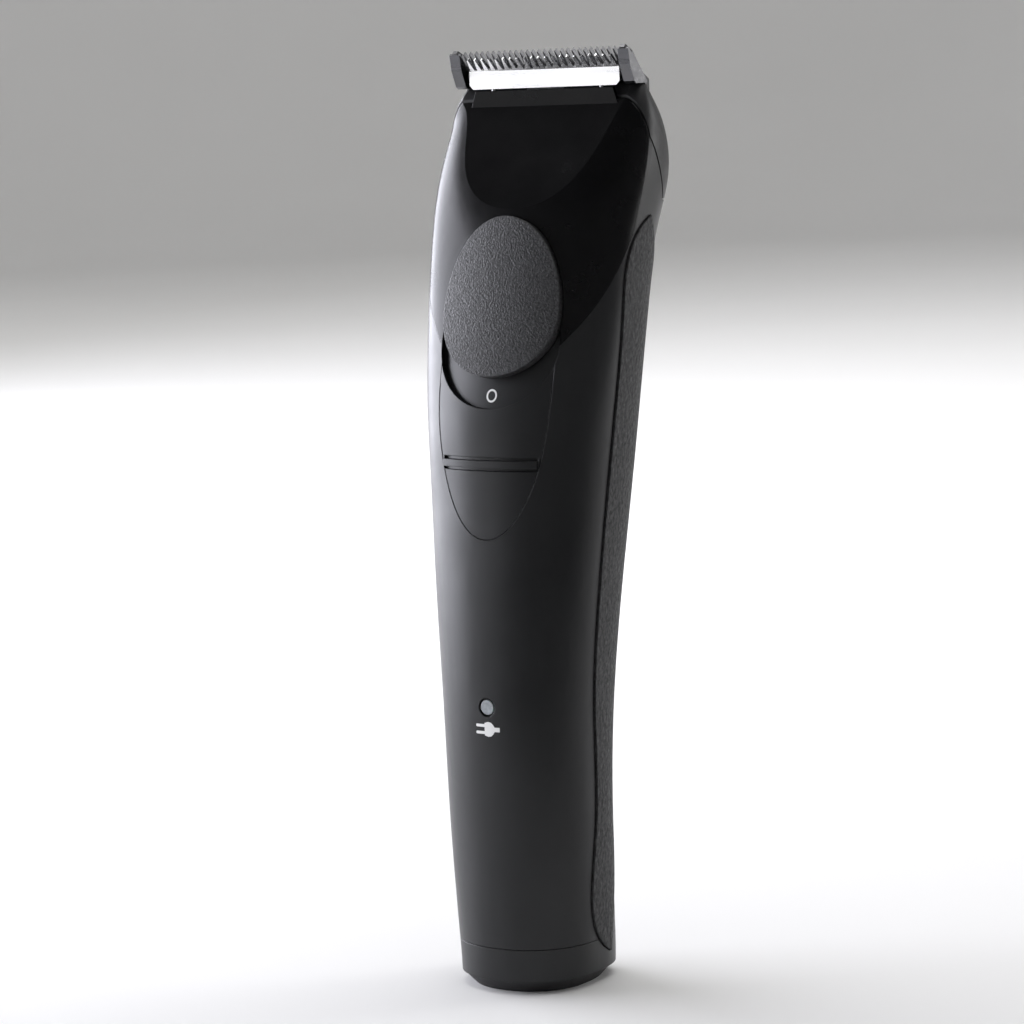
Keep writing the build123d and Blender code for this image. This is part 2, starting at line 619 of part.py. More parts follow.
fork_high = pin_top + 0.6
fork_outer = fork_slot + HUB_WALL
lever += block(-fork_outer, fork_outer, lever_face - HUB_WALL, lever_face + LEVER_THICKNESS + HUB_WALL,
               lever_low, fork_high + 2.0)
lever -= block(-fork_slot, fork_slot, -FAR, FAR, lever_low - 1, fork_high)
lever -= rod((0, hub_front - 1, LEVER_PIVOT), (0, hub_back + 1, LEVER_PIVOT), PIVOT_RADIUS + PIN_GAP)
pin_front = hub_front - CHEEK_GAP - CHEEK_THICKNESS
pin_back = hub_back + CHEEK_GAP + CHEEK_THICKNESS
for face in (pin_front, hub_back + CHEEK_GAP):
    drive_frame += block(-rail_outer, rail_outer, face, face + CHEEK_THICKNESS, pivot_low, pivot_high)
for near, far in rail_spans:
    drive_frame += block(near, far, pin_front, pin_back, pivot_low, pivot_high)
pivot_pin = rod((0, pin_front, LEVER_PIVOT), (0, pin_back, LEVER_PIVOT), PIVOT_RADIUS)
drive_frame -= pivot_pin

# Screws that hold the motor under the frame's top plate, and its two leads.
motor_screws = []
for side in (1, -1):
    x = side * MOTOR_SCREW_X
    shank = rod((x, MOTOR_Y, motor_top - MOTOR_WALL), (x, MOTOR_Y, plate_top), SCREW_RADIUS)
    drive_frame -= shank
    motor_can -= shank
    head_top = (x, MOTOR_Y, plate_top + MOTOR_SCREW_HEAD)
    motor_screws.append(shank + rod((x, MOTOR_Y, plate_top), head_top, SCREW_HEAD_RADIUS))
motor_leads = []
for side in (1, -1):
    x = side * LEAD_X
    motor_leads.append(rod((x, MOTOR_Y, holder_high), (x, MOTOR_Y, MOTOR_FLOOR), LEAD_RADIUS))

# Screws through the base cap into the cell holder.
base_screws = []
for side in (1, -1):
    x = side * BASE_SCREW_X
    under = (x, BASE_SCREW_Y, FOOT_HEIGHT)
    head = rod(under, (x, BASE_SCREW_Y, FOOT_HEIGHT + SCREW_HEAD_HEIGHT), SCREW_HEAD_RADIUS)
    shank = rod(under, (x, BASE_SCREW_Y, room_low), SCREW_RADIUS)
    base_screws.append(head + shank)
    base_cap -= head + shank
    holder -= shank

# Switch board under the slider, held on the drive frame's front cheek.
switch_floor = -STEM_DEPTH - SLIDER_THICKNESS - 0.5
switch_board = ramp * block(-7.0, 7.0, -STEM_LENGTH - PAD_TRAVEL, -1.0,
                            switch_floor - SWITCH_BOARD_THICKNESS, switch_floor)
switch_leaf = ramp * block(-2.5, 2.5, -STEM_LENGTH - PAD_TRAVEL + 2, -2.5, switch_floor, switch_floor + 0.25)

# Blade block.
blade_up = Vector(0, -math.sin(math.radians(BLADE_LEAN)), math.cos(math.radians(BLADE_LEAN)))
blade_out = Vector(1, 0, 0).cross(blade_up)
blade_plane = Plane(origin=(0, TIP_FRONT, TIP_HEIGHT), x_dir=(1, 0, 0), z_dir=blade_out)


def comb(count, pitch, tooth, shoulder, low, tip, wide_ends):
    """Comb outline in the blade plane; teeth point up to tip and end at shoulder's sides."""
    root = tip - tooth
    half_tooth = pitch * TOOTH_SHARE / 2
    points = [(-shoulder, low)]
    first = -(count - 1) / 2 * pitch
    if wide_ends:
        edge = first - pitch + half_tooth
        points += [(-shoulder, tip - 1.2), (-shoulder + 0.7, tip + 0.3), (edge - 0.6, tip + 0.3)]
        points += [(edge, tip - 0.5), (edge, root)]
    else:
        points += [(-shoulder, root)]
    for index in range(count):
        middle = first + index * pitch
        points += [
            (middle - half_tooth, root),
            (middle - half_tooth * 0.3, tip),
            (middle + half_tooth * 0.3, tip),
            (middle + half_tooth, root),
        ]
    if wide_ends:
        points += [(-edge, root), (-edge, tip - 0.5), (-edge + 0.6, tip + 0.3), (shoulder - 0.7, tip + 0.3)]
        points += [(shoulder, tip - 1.2), (shoulder, low)]
    else:
        points += [(shoulder, root), (shoulder, low)]
    return Face(Wire.make_polygon([Vector(x, y, 0) for x, y in points]))


fixed_face = comb(FIXED_TEETH, FIXED_PITCH, FIXED_TOOTH_LENGTH, FIXED_HALF_WIDTH, -FIXED_HEIGHT, 0.0,
                  wide_ends=True)
fixed_blade = blade_plane * Solid.extrude(fixed_face, Vector(0, 0, -FIXED_THICKNESS))


def guards():
    """Wings at both ends of the fixed blade that reach forwards beside the cutting bar."""
    sole = BAR_LOW + 0.15
    heel = Vector(0, TIP_FRONT, TIP_HEIGHT) - blade_up * ((TIP_HEIGHT - sole) / blade_up.Z)
    sink = blade_out * (-FIXED_THICKNESS / 2)
    side = [
        (TIP_FRONT, TIP_HEIGHT),
        GUARD_KNEE,
        (BAR_FRONT, sole + 0.4),
        (BAR_FRONT + MOVING_THICKNESS, sole),
        (heel.Y, heel.Z),
        (heel.Y + sink.Y, heel.Z + sink.Z),
        (TIP_FRONT + sink.Y, TIP_HEIGHT + sink.Z),
    ]
    near = BAR_HALF_WIDTH + STROKE + GUARD_GAP
    return side_prism(side, FIXED_HALF_WIDTH) - side_prism(side, near)


fixed_blade += guards()
moving_low = -(TIP_HEIGHT - BAR_TOP) / blade_up.Z - 0.6
moving_face = comb(MOVING_TEETH, MOVING_PITCH, MOVING_TOOTH_LENGTH, BAR_HALF_WIDTH, moving_low,
                   -MOVING_SETBACK, wide_ends=False)
moving_plane = blade_plane * Pos(0, 0, RUNNING_GAP)
moving_blade = moving_plane * Solid.extrude(moving_face, Vector(0, 0, MOVING_THICKNESS))
bar_points = [
    (-BAR_HALF_WIDTH, BAR_TOP),
    (-BAR_HALF_WIDTH, BAR_LOW + BAR_CORNER),
    (-BAR_HALF_WIDTH + BAR_CORNER, BAR_LOW),
    (BAR_HALF_WIDTH - BAR_CORNER, BAR_LOW),
    (BAR_HALF_WIDTH, BAR_LOW + BAR_CORNER),
    (BAR_HALF_WIDTH, BAR_TOP),
]
bar_face = Face(Wire.make_polygon([Vector(x, BAR_FRONT, z) for x, z in bar_points]))
moving_blade += Solid.extrude(bar_face, Vector(0, MOVING_THICKNESS, 0))

yoke_half = tip_half + YOKE_WALL
yoke_front = BAR_FRONT + MOVING_THICKNESS
yoke_low = LEVER_TOP - YOKE_DROP
yoke_back = LEVER_TIP_FRONT + LEVER_THICKNESS + 0.4
yoke_slot = tip_half + YOKE_GAP
yoke = block(-yoke_half, yoke_half, yoke_front, yoke_front + YOKE_PLATE, yoke_low, BAR_LOW + 1.6)
yoke += block(-yoke_half, yoke_half, yoke_front, yoke_back, yoke_low, LEVER_TOP + 0.6)
yoke -= block(-yoke_slot, yoke_slot, -FAR, FAR, 0, LEVER_TOP + FORK_GAP)

deck_low = TOP_SECTION[0] - DECK_THICKNESS
frame_form = skin & block_region(BLOCK_GAP / 2)
blade_frame = frame_form - (body(-BLOCK_WALL) & block(-FAR, FAR, -FAR, FAR, BLOCK_FLOOR - 1, deck_low))
wing_low = Vector(0, TIP_FRONT, TIP_HEIGHT) + blade_up * -FIXED_HEIGHT
wedge_high = Vector(0, TIP_FRONT, TIP_HEIGHT) + blade_up * -(FIXED_TOOTH_LENGTH + 1.4)
back = blade_out * -FIXED_THICKNESS
wedge = side_prism([
    ((wedge_high + back).Y, (wedge_high + back).Z),
    ((wing_low + back).Y, (wing_low + back).Z),
    (wing_low.Y, wing_low.Z),
    (wing_low.Y, deck_low),
    (TOP_SECTION[4] - 0.4, deck_low),
    (TOP_SECTION[4] - 0.4, TOP_SECTION[0]),
    ((wedge_high + back).Y + 1.0, (wedge_high + back).Z),
], FIXED_HALF_WIDTH - 1.2)
blade_frame += wedge
bar_room = BAR_HALF_WIDTH + STROKE + SLIDE_GAP
yoke_room = yoke_half + STROKE + SLIDE_GAP
blade_frame -= block(-bar_room, bar_room, -FAR, yoke_front + SLIDE_GAP, BAR_LOW - SLIDE_GAP, 3 * FAR)
blade_frame -= block(-yoke_room, yoke_room, -FAR, yoke_back + 0.6, BLOCK_FLOOR, LEVER_TOP + 1.0)
blade_frame -= block(-yoke_room, yoke_room, -FAR, yoke_front + YOKE_PLATE + SLIDE_GAP, BLOCK_FLOOR, 3 * FAR)
blade_frame -= blade_plane * block(-bar_room, bar_room, -FIXED_HEIGHT * 2, 2.0, 0.0,
                                   MOVING_THICKNESS + RUNNING_GAP + SLIDE_GAP)
blade_frame -= fixed_blade
blade_frame += knuckle(0.0)

# Blade screws and the two wires that press the moving blade.
blade_screws = []
blade_springs = []
wire_y = BAR_FRONT + MOVING_THICKNESS + RUNNING_GAP + SPRING_WIRE
wire_z = (BAR_LOW + TOP_SECTION[0]) / 2 + 0.5
for side in (1, -1):
    seat = blade_plane * Pos(side * BLADE_SCREW_X, -BLADE_SCREW_DROP, 0)
    shank = seat * Pos(0, 0, -1.2) * Cylinder(BLADE_SCREW_RADIUS, 2.4)
    head = seat * Pos(0, 0, 0.25) * Cylinder(BLADE_SCREW_HEAD, 0.5)
    fixed_blade -= shank
    blade_frame -= shank
    blade_screws.append(shank + head)
    inner, outer = side * SPRING_INNER, side * SPRING_OUTER
    wire = rod((inner, wire_y, wire_z), (outer, wire_y, wire_z), SPRING_WIRE)
    wire += Pos(outer, wire_y, wire_z) * Sphere(SPRING_WIRE)
    wire += rod((outer, wire_y, wire_z), (outer, wire_y, deck_low), SPRING_WIRE)
    blade_frame -= wire
    blade_springs.append(wire)

NODES = {
    "upper_cover": upper_cover,
    "front_housing": front_housing,
    "rear_housing": rear_housing,
    "grip_right": grips[1],
    "grip_left": grips[-1],
    "switch_pad": pad + stem,
    "switch_slider": slider,
    "switch_panel": panel,
    "switch_board": switch_board,
    "switch_leaf": switch_leaf,
    "charge_lamp_lens": lamp_lens,
    "charge_lamp_chip": lamp_chip,
    "base_cap": base_cap,
    "base_seal": base_seal,
    "foot": foot,
    "inlet_body": inlet_body,
    "inlet_contacts": Compound(children=tags),
    "battery_cell": cell,
    "battery_holder": holder,
    "battery_tabs": Compound(children=cell_tabs),
    "circuit_board": board,
    "base_screws": Compound(children=base_screws),
    "motor_can": motor_can,
    "motor_magnets": magnets,
    "motor_armature": armature,
    "motor_screws": Compound(children=motor_screws),
    "motor_leads": Compound(children=motor_leads),
    "motor_end_cap": motor_cap,
    "motor_shaft": shaft,
    "drive_cam": cam,
    "drive_lever": lever,
    "lever_pivot_pin": pivot_pin,
    "drive_frame": drive_frame,
    "blade_frame": blade_frame,
    "fixed_blade": fixed_blade,
    "moving_blade": moving_blade,
    "blade_yoke": yoke,
    "blade_screws": Compound(children=blade_screws),
    "blade_springs": Compound(children=blade_springs),
}

os.makedirs("parts", exist_ok=True)
for name, shape in NODES.items():
    export_step(one(shape), f"parts/{name}.step")
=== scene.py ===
"""Visual model of a cordless hair clipper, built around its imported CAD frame. Metres."""
import json
import math

import bmesh
import bpy
from mathutils import Matrix, Vector
from mathutils.bvhtree import BVHTree


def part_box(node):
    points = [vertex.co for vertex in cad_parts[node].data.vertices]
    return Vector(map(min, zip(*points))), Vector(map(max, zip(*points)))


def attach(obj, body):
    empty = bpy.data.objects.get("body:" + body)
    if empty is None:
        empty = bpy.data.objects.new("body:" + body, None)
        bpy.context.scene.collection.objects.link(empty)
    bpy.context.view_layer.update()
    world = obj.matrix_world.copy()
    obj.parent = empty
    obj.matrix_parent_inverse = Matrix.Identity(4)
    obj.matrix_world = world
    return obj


MM = 0.001
# The middle band of a noise texture's values, where nearly all of them lie.
NOISE_LOW, NOISE_HIGH = 0.35, 0.65
BEVEL_SAMPLES = 4
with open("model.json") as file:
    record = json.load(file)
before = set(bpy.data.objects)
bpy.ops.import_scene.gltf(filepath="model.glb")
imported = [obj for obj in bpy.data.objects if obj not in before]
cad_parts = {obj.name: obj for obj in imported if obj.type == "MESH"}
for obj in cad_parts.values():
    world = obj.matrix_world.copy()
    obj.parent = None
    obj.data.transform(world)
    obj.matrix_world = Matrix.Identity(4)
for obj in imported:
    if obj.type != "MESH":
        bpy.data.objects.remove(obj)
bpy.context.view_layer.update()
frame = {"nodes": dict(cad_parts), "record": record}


# ---------------------------------------------------------------- node helpers
class Mat:
    """A small builder for one procedural material."""

    def __init__(self, name, color, roughness, metallic=0.0):
        self.material = bpy.data.materials.new(name)
        self.material.use_nodes = True
        self.tree = self.material.node_tree
        self.shader = self.tree.nodes["Principled BSDF"]
        self.set("Base Color", (*color, 1.0))
        self.set("Roughness", roughness)
        self.set("Metallic", metallic)
        self.coordinates = self.tree.nodes.new("ShaderNodeTexCoord").outputs["Object"]
        self.normal = None

    def set(self, socket, value):
        self.shader.inputs[socket].default_value = value

    def link(self, output, target):
        self.tree.links.new(output, target)

    def stretched(self, scale):
        """Object coordinates scaled on each axis."""
        mapping = self.tree.nodes.new("ShaderNodeMapping")
        mapping.inputs["Scale"].default_value = scale
        self.link(self.coordinates, mapping.inputs["Vector"])
        return mapping.outputs["Vector"]

    def noise(self, scale, detail=3.0, roughness=0.55, stretch=(1, 1, 1)):
        node = self.tree.nodes.new("ShaderNodeTexNoise")
        node.inputs["Scale"].default_value = scale
        node.inputs["Detail"].default_value = detail
        node.inputs["Roughness"].default_value = roughness
        self.link(self.stretched(stretch), node.inputs["Vector"])
        return node.outputs["Fac"]

    def cells(self, scale, feature="F1", randomness=1.0, stretch=(1, 1, 1)):
        node = self.tree.nodes.new("ShaderNodeTexVoronoi")
        node.feature = feature
        node.inputs["Scale"].default_value = scale
        node.inputs["Randomness"].default_value = randomness
        self.link(self.stretched(stretch), node.inputs["Vector"])
        return node.outputs["Distance"]

    def mapped(self, value, low, high):
        """Noise values spread over low to high."""
        node = self.tree.nodes.new("ShaderNodeMapRange")
        node.inputs["From Min"].default_value = NOISE_LOW
        node.inputs["From Max"].default_value = NOISE_HIGH
        node.inputs["To Min"].default_value = low
        node.inputs["To Max"].default_value = high
        self.link(value, node.inputs["Value"])
        return node.outputs["Result"]

    def tint(self, value, dark, light):
        """Base colour that runs from dark to light with value."""
        ramp = self.tree.nodes.new("ShaderNodeValToRGB")
        ramp.color_ramp.elements[0].position = NOISE_LOW
        ramp.color_ramp.elements[0].color = (*dark, 1.0)
        ramp.color_ramp.elements[1].position = NOISE_HIGH
        ramp.color_ramp.elements[1].color = (*light, 1.0)
        self.link(value, ramp.inputs["Fac"])
        self.link(ramp.outputs["Color"], self.shader.inputs["Base Color"])

    def rough(self, value, low, high):
        """Roughness that runs from low to high with value."""
        self.link(self.mapped(value, low, high), self.shader.inputs["Roughness"])

    def round_edges(self, radius):
        """Edges shaded as if rounded by radius."""
        node = self.tree.nodes.new("ShaderNodeBevel")
        node.samples = BEVEL_SAMPLES
        node.inputs["Radius"].default_value = radius
        self.normal = node.outputs["Normal"]
        self.link(self.normal, self.shader.inputs["Normal"])

    def bump(self, value, distance, strength):
        """Relief of the given height, laid over the one before it."""
        node = self.tree.nodes.new("ShaderNodeBump")
        node.inputs["Strength"].default_value = strength
        node.inputs["Distance"].default_value = distance
        self.link(value, node.inputs["Height"])
        if self.normal is not None:
            self.link(self.normal, node.inputs["Normal"])
        self.normal = node.outputs["Normal"]
        self.link(self.normal, self.shader.inputs["Normal"])


# ------------------------------------------------------------------ materials
def satin_body():
    m = Mat("satin_body", (0.008, 0.0083, 0.0095), 0.36)
    m.set("Specular IOR Level", 0.42)
    m.tint(m.noise(60, 4), (0.0065, 0.0068, 0.008), (0.009, 0.0094, 0.0105))
    m.rough(m.noise(90, 5), 0.34, 0.41)
    m.round_edges(0.22 * MM)
    m.bump(m.noise(5200, 2), 0.004 * MM, 0.6)
    return m.material


def gloss_cover():
    m = Mat("gloss_cover", (0.003, 0.003, 0.0035), 0.24)
    m.set("Specular IOR Level", 0.16)
    m.rough(m.noise(120, 6), 0.22, 0.28)
    m.round_edges(0.16 * MM)
    m.bump(m.noise(900, 2), 0.0012 * MM, 0.3)
    return m.material


def grip_rubber():
    m = Mat("grip_rubber", (0.022, 0.022, 0.023), 0.62)
    m.set("Specular IOR Level", 0.42)
    m.tint(m.noise(1400, 4), (0.013, 0.013, 0.014), (0.034, 0.034, 0.036))
    m.rough(m.noise(1700, 3), 0.50, 0.72)
    m.round_edges(0.25 * MM)
    m.bump(m.cells(760, "DISTANCE_TO_EDGE", 1.0, (1.0, 1.0, 0.7)), 0.30 * MM, 0.9)
    m.bump(m.noise(1500, 4, 0.6), 0.22 * MM, 0.8)
    return m.material


def pad_grain():
    m = Mat("pad_grain", (0.024, 0.024, 0.026), 0.55)
    m.tint(m.noise(2400, 3), (0.012, 0.012, 0.013), (0.042, 0.042, 0.044))
    m.rough(m.noise(2600, 3), 0.46, 0.64)
    m.round_edges(0.30 * MM)
    m.bump(m.cells(2900, "F1", 1.0), 0.10 * MM, 0.9)
    m.bump(m.noise(3200, 3), 0.06 * MM, 0.8)
    return m.material


def ground_steel(name, color, low, high, stretch):
    m = Mat(name, color, (low + high) / 2, 1.0)
    m.set("Anisotropic", 0.5)
    streaks = m.noise(900, 4, 0.6, stretch)
    m.rough(streaks, low, high)
    m.tint(streaks, tuple(c * 0.94 for c in color), color)
    m.round_edges(0.06 * MM)
    m.bump(streaks, 0.003 * MM, 0.6)
    return m.material


def plastic(name, color, roughness, grain=3600, depth=0.006):
    m = Mat(name, color, roughness)
    darker = tuple(c * 0.85 for c in color)
    lighter = tuple(min(1.0, c * 1.12) for c in color)
    m.tint(m.noise(200, 4), darker, lighter)
    m.rough(m.noise(400, 4), roughness * 0.9, min(1.0, roughness * 1.1))
    m.round_edges(0.15 * MM)
    m.bump(m.noise(grain, 3), depth * MM, 0.6)
    return m.material


def lamp_lens():
    m = Mat("lamp_lens", (0.40, 0.40, 0.41), 0.32)
    m.set("Subsurface Weight", 0.15)
    m.tint(m.noise(1500, 3), (0.30, 0.30, 0.31), (0.44, 0.44, 0.45))
    m.round_edges(0.25 * MM)
    m.bump(m.noise(5000, 2), 0.004 * MM, 0.5)
    return m.material


def printed_white():
    m = Mat("printed_white", (0.86, 0.86, 0.85), 0.45)
    m.rough(m.noise(3000, 3), 0.38, 0.52)
    m.bump(m.noise(6000, 2), 0.002 * MM, 0.4)
    return m.material


LOOKS = {
    "body_satin": satin_body(),
    "panel_satin": satin_body(),
    "cover_gloss": gloss_cover(),
    "grip_rubber": grip_rubber(),
    "pad_plastic": pad_grain(),
    "lens": lamp_lens(),
    "black_plastic": plastic("black_plastic", (0.009, 0.009, 0.010), 0.42),
    "foot_rubber": plastic("foot_rubber", (0.012, 0.012, 0.013), 0.6, 2400, 0.012),
    "seal_rubber": plastic("seal_rubber", (0.03, 0.03, 0.03), 0.6),
    "steel": ground_steel("steel", (0.55, 0.55, 0.56), 0.25, 0.38, (0.2, 1, 1)),
    "blade_steel": ground_steel("blade_steel", (0.80, 0.80, 0.81), 0.16, 0.30, (0.05, 1, 1)),
    "comb_steel": ground_steel("comb_steel", (0.13, 0.13, 0.135), 0.26, 0.36, (0.1, 1, 1)),
    "nylon": plastic("nylon", (0.70, 0.69, 0.65), 0.5),
    "board_green": plastic("board_green", (0.02, 0.13, 0.05), 0.35),
    "cell_wrap": plastic("cell_wrap", (0.07, 0.24, 0.12), 0.3),
    "copper": ground_steel("copper", (0.75, 0.46, 0.28), 0.25, 0.4, (1, 1, 0.2)),
    "magnet": plastic("magnet", (0.05, 0.05, 0.05), 0.5),
    "lead_red": plastic("lead_red", (0.45, 0.03, 0.02), 0.45),
}
PRINT = printed_white()
SLOT_OF = {part["node"]: part["material_slot"] for part in frame["record"]["subparts"]}


def dress(obj, material, angle=30.0):
    """One material and smooth shading with sharp edges above angle."""
    obj.data.materials.clear()
    obj.data.materials.append(material)
    obj.data.shade_smooth()
    obj.data.set_sharp_from_angle(angle=math.radians(angle))


for name, obj in frame["nodes"].items():
    dress(obj, LOOKS[SLOT_OF[name]])


# ------------------------------------------------------- printed front symbols and a band of painted shade
# Rays start this far in front of the handle.
RAY_START = -0.1
PRINT_EDGE = 0.2 * MM
REFINE_PASSES = 6
ARC_STEPS = 48


def surface_of(*names):
    """Ray-cast trees of some CAD nodes."""
    trees = []
    for name in names:
        mesh = frame["nodes"][name].data
        points = [vertex.co for vertex in mesh.vertices]
        trees.append(BVHTree.FromPolygons(points, [face.vertices for face in mesh.polygons]))
    return trees


def front_point(trees, x, z, lift):
    """The frontmost point of the surface at x, z, lifted off it by lift."""
    hits = [tree.ray_cast(Vector((x, RAY_START, z)), Vector((0, 1, 0))) for tree in trees]
    hits = [hit for hit in hits if hit[0] is not None]
    nearest = min(hits, key=lambda hit: hit[0].y)
    normal = nearest[1] if nearest[1].y < 0 else -nearest[1]
    return nearest[0] + normal * lift


def refine(mesh, longest):
    """Splits edges longer than longest, so that the mesh can follow a curved surface."""
    work = bmesh.new()
    work.from_mesh(mesh)
    bmesh.ops.triangulate(work, faces=work.faces[:])
    for _ in range(REFINE_PASSES):
        long_edges = [edge for edge in work.edges if edge.calc_length() > longest]
        if not long_edges:
            break
        bmesh.ops.subdivide_edges(work, edges=long_edges, cuts=1)
        bmesh.ops.triangulate(work, faces=work.faces[:])
    work.to_mesh(mesh)
    work.free()


def surface_film(name, outline, centre, trees, body, lift=0.02 * MM, thickness=0.015 * MM):
    """Thin film laid on the surface of trees, about centre, used for printed symbols and for the band of
    painted shade round the switch panel.

    The outline is a list of closed loops in mm, with any hole after the first.
    """
    curve = bpy.data.curves.new(name, "CURVE")
    curve.dimensions = "2D"
    curve.fill_mode = "BOTH"
    for loop in outline:
        spline = curve.splines.new("POLY")
        spline.points.add(len(loop) - 1)
        for point, (x, y) in zip(spline.points, loop):
            point.co = (x * MM, y * MM, 0, 1)
        spline.use_cyclic_u = True
    flat = bpy.data.objects.new(name + "_flat", curve)
    bpy.context.scene.collection.objects.link(flat)
    bpy.context.view_layer.update()
    filled = flat.evaluated_get(bpy.context.evaluated_depsgraph_get())
    mesh = bpy.data.meshes.new_from_object(filled)
    bpy.data.objects.remove(flat)
    obj = bpy.data.objects.new(name, mesh)
    bpy.context.scene.collection.objects.link(obj)
    refine(mesh, PRINT_EDGE)
    for vertex in mesh.vertices:
        vertex.co = front_point(trees, centre[0] + vertex.co.x, centre[1] + vertex.co.y, lift)
    solid = obj.modifiers.new("thickness", "SOLIDIFY")
    solid.thickness = thickness
    solid.offset = 0
    mesh.materials.append(PRINT)
    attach(obj, body)
    return obj


def oval(radius, height_ratio):
    """Closed loop in mm that is height_ratio times as high as it is wide."""
    angles = [2 * math.pi * i / ARC_STEPS for i in range(ARC_STEPS)]
    return [(radius * math.cos(angle), radius * height_ratio * math.sin(angle)) for angle in angles]


def plug_outline():
    """Plug symbol in mm: two prongs to the left, a rounded body and a lead stub to the right."""
    upper = [
        (-0.55, 0.35), (-2.15, 0.35), (-2.30, 0.45), (-2.30, 0.75), (-2.15, 0.85), (-0.55, 0.85),
        (-0.55, 1.05), (0.15, 1.27), (0.75, 1.18), (1.20, 0.78), (1.45, 0.38), (2.45, 0.38),
    ]
    return upper + [(x, -y) for x, y in reversed(upper)]


# The symbols' centres, below the lamp and below the pad at rest.
PLUG_DROP = 3.7 * MM
MARK_DROP = 2.9 * MM
MARK_OUTER = oval(1.05, 1.05)
MARK_INNER = oval(0.72, 1.07)
lens_low, lens_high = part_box("charge_lamp_lens")
lamp_z = (lens_low.z + lens_high.z) / 2
pad_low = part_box("switch_pad")[0]
shell = surface_of("front_housing")
surface_film("plug_symbol", [plug_outline()], (0.0, lamp_z - PLUG_DROP), shell, "handle")
pocket = surface_of("switch_panel", "front_housing", "upper_cover")
surface_film("off_mark", [MARK_OUTER, MARK_INNER[::-1]], (0.0, pad_low.z - MARK_DROP), pocket, "handle")

# The switch panel's half width and depth, its top, and how far the band of painted shade along its joint
# reaches each way, in mm.
TONGUE_HALF, TONGUE_DEPTH, TONGUE_TOP = 11.35, 25.75, 103.0
PAINTED_SHADE_OUTSIDE, PAINTED_SHADE_INSIDE = 0.16, -0.12
TONGUE_STEPS = 64


def tongue(grow):
    """Outline of the switch panel in mm about its own centre line, grown by grow, open at the top."""
    half, deep = TONGUE_HALF + grow, TONGUE_DEPTH + grow
    angles = [math.pi * (1 + i / TONGUE_STEPS) for i in range(TONGUE_STEPS + 1)]
    return [(half * math.cos(angle), deep * math.sin(angle)) for angle in angles]


# Painted shade: a thin black band laid over the joint round the switch panel, standing in for the shadow
# in its groove.
around = surface_of("front_housing", "switch_panel")
painted_shade_outline = tongue(PAINTED_SHADE_OUTSIDE) + tongue(PAINTED_SHADE_INSIDE)[::-1]
painted_shade_band = surface_film("panel_painted_shade", [painted_shade_outline], (0.0, TONGUE_TOP * MM), around, "handle")
# The band's black material is painted shade, not the colour of the joint.
painted_shade_band.data.materials.clear()
painted_shade_band.data.materials.append(LOOKS["black_plastic"])


# ------------------------------------------------------------------- studio
def area_light(name, place, target, size, power, color=(1, 1, 1)):
    """A soft panel at place that faces target, out of the camera's sight."""
    data = bpy.data.lights.new(name, "AREA")
    data.shape = "RECTANGLE"
    data.size, data.size_y = size
    data.energy = power
    data.color = color
    light = bpy.data.objects.new(name, data)
    light.location = place
    light.visible_camera = False
    light.rotation_euler = (Vector(target) - Vector(place)).to_track_quat("-Z", "Y").to_euler()
    bpy.context.scene.collection.objects.link(light)


def studio_floor():
    """Pale round floor that sweeps up into a wall on every side."""
    middle, flat, sweep, wall = 0.5, 2.2, 0.9, 1.6
    turns, bends = 96, 16
    profile = [(middle, 0.0), (flat, 0.0)]
    for step in range(1, bends + 1):
        angle = math.radians(90 * step / bends)
        profile.append((flat + sweep * math.sin(angle), sweep - sweep * math.cos(angle)))
    profile.append((flat + sweep, sweep + wall))
    verts = [(0, 0, 0)]
    for radius, z in profile:
        for turn in range(turns):
            angle = 2 * math.pi * turn / turns
            verts.append((radius * math.cos(angle), radius * math.sin(angle), z))
    faces = [(0, 1 + turn, 1 + (turn + 1) % turns) for turn in range(turns)]
    for ring in range(len(profile) - 1):
        low, high = 1 + ring * turns, 1 + (ring + 1) * turns
        for turn in range(turns):
            after = (turn + 1) % turns
            faces.append((low + turn, high + turn, high + after, low + after))
    mesh = bpy.data.meshes.new("floor")
    mesh.from_pydata(verts, [], faces)
    floor = bpy.data.objects.new("floor", mesh)
    bpy.context.scene.collection.objects.link(floor)
    m = Mat("studio_paper", (0.86, 0.855, 0.845), 0.85)
    m.tint(m.noise(3, 3), (0.85, 0.845, 0.835), (0.87, 0.865, 0.855))
    m.bump(m.noise(400, 4), 0.05 * MM, 0.2)
    mesh.materials.append(m.material)
    mesh.shade_smooth()


def black_card(name, place, size, turn):
    """A matt black flag that the object reflects and the camera doesn't see."""
    half_x, half_y = size[0] / 2, size[1] / 2
    verts = [(-half_x, -half_y, 0), (half_x, -half_y, 0), (half_x, half_y, 0), (-half_x, half_y, 0)]
    mesh = bpy.data.meshes.new(name)
    mesh.from_pydata(verts, [], [(0, 1, 2, 3)])
    card = bpy.data.objects.new(name, mesh)
    card.location = place
    card.rotation_euler = turn
    mesh.materials.append(Mat(name, (0.004, 0.004, 0.004), 0.9).material)
    card.visible_camera = False
    card.visible_diffuse = False
    card.visible_shadow = False
    bpy.context.scene.collection.objects.link(card)


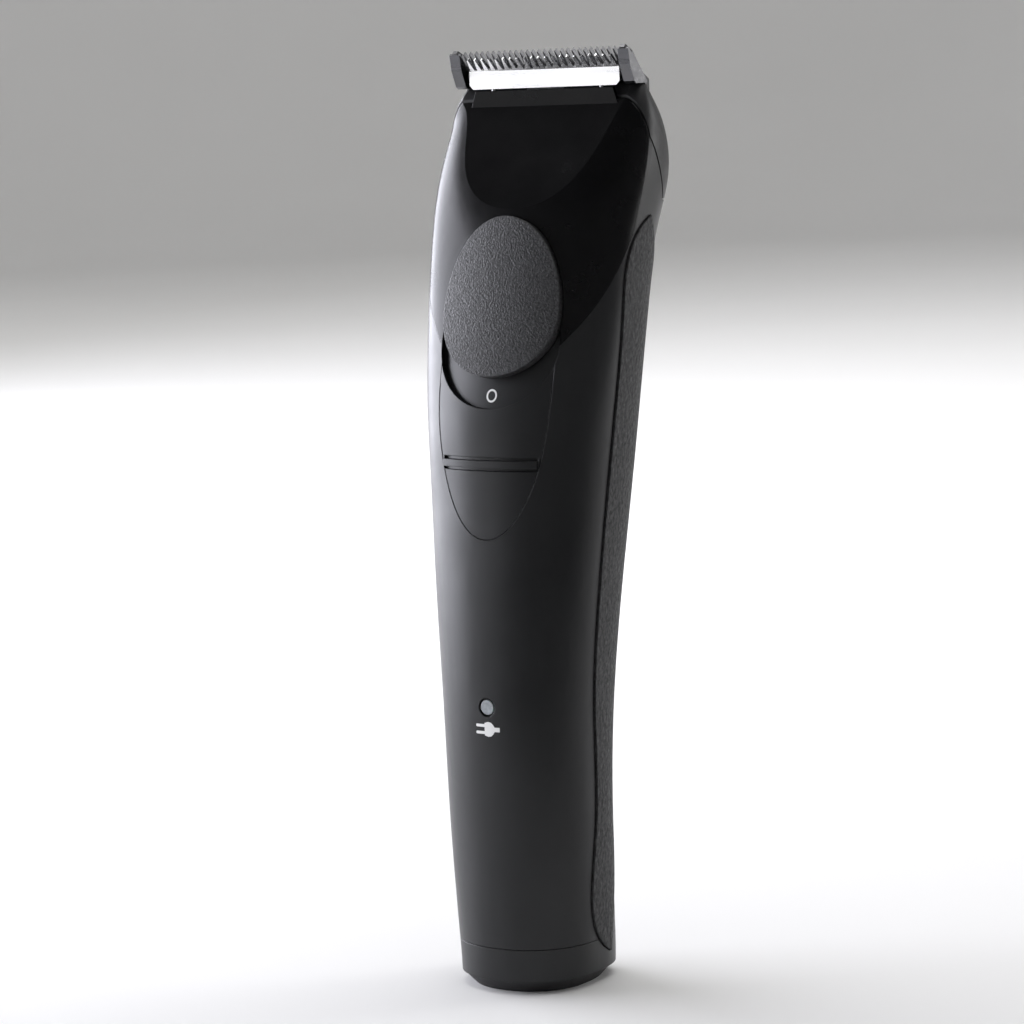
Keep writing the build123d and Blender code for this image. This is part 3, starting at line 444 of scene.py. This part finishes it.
studio_floor()
black_card("front_flag", (0.20, -0.42, 0.002), (0.9, 0.62), (0, 0, math.radians(34)))
area_light("key_left", (-0.95, -0.08, 0.26), (0, 0, 0.09), (1.20, 0.60), 20.0, (0.90, 0.91, 1.0))
area_light("rim_right", (0.60, 0.75, 0.30), (0, 0, 0.09), (0.30, 0.50), 1.6)
area_light("top", (0.0, 0.25, 1.30), (0, 0.10, 0.0), (1.6, 1.4), 8.0)
area_light("backdrop_wash", (-0.30, 0.35, 1.15), (-0.80, 1.40, 0.25), (1.6, 0.8), 14.0)
area_light("bar_card", (-0.53, -0.77, 0.125), (0, 0.01, 0.15), (0.40, 0.09), 0.20)
world = bpy.data.worlds.new("studio")
world.use_nodes = True
sky = world.node_tree.nodes["Background"]
sky.inputs["Color"].default_value = (1.0, 1.0, 1.0, 1.0)
sky.inputs["Strength"].default_value = 0.10
bpy.context.scene.world = world
bpy.context.scene.view_settings.view_transform = "Standard"

# ------------------------------------------------------------------- camera
CAMERA_AZIMUTH = 34.0
CAMERA_DISTANCE = 0.600
CAMERA_HEIGHT = 0.159
CAMERA_ROLL = -2.44
TARGET = Vector((0.0, 0.0062, 0.078))
SENSOR_WIDTH = 36.0
# Focal length, and where the camera aims beside its target, as shares of the picture's width.
FOCAL = 3.45703125
AIM_RIGHT, AIM_UP = -0.025390625, 0.0107421875


def photo_camera():
    """Camera in front of the handle and to its right, rolled a little and without shift."""
    azimuth = math.radians(CAMERA_AZIMUTH)
    across = CAMERA_DISTANCE * math.sin(azimuth)
    back = CAMERA_DISTANCE * math.cos(azimuth)
    place = Vector((across, TARGET.y - back, CAMERA_HEIGHT))
    ahead = (TARGET - place).normalized()
    right = ahead.cross(Vector((0, 0, 1))).normalized()
    up = right.cross(ahead)
    roll = math.radians(CAMERA_ROLL)
    level_right, level_up = right, up
    right = level_right * math.cos(roll) + level_up * math.sin(roll)
    up = level_up * math.cos(roll) - level_right * math.sin(roll)
    ahead = (ahead + right * (AIM_RIGHT / FOCAL) + up * (AIM_UP / FOCAL)).normalized()
    right = (right - ahead * right.dot(ahead)).normalized()
    up = right.cross(ahead)
    data = bpy.data.cameras.new("camera")
    data.sensor_width = SENSOR_WIDTH
    data.lens = FOCAL * SENSOR_WIDTH
    data.clip_start = 0.01
    camera = bpy.data.objects.new("camera", data)
    camera.matrix_world = Matrix((
        (right.x, up.x, -ahead.x, place.x),
        (right.y, up.y, -ahead.y, place.y),
        (right.z, up.z, -ahead.z, place.z),
        (0, 0, 0, 1),
    ))
    bpy.context.scene.collection.objects.link(camera)
    bpy.context.scene.camera = camera


photo_camera()
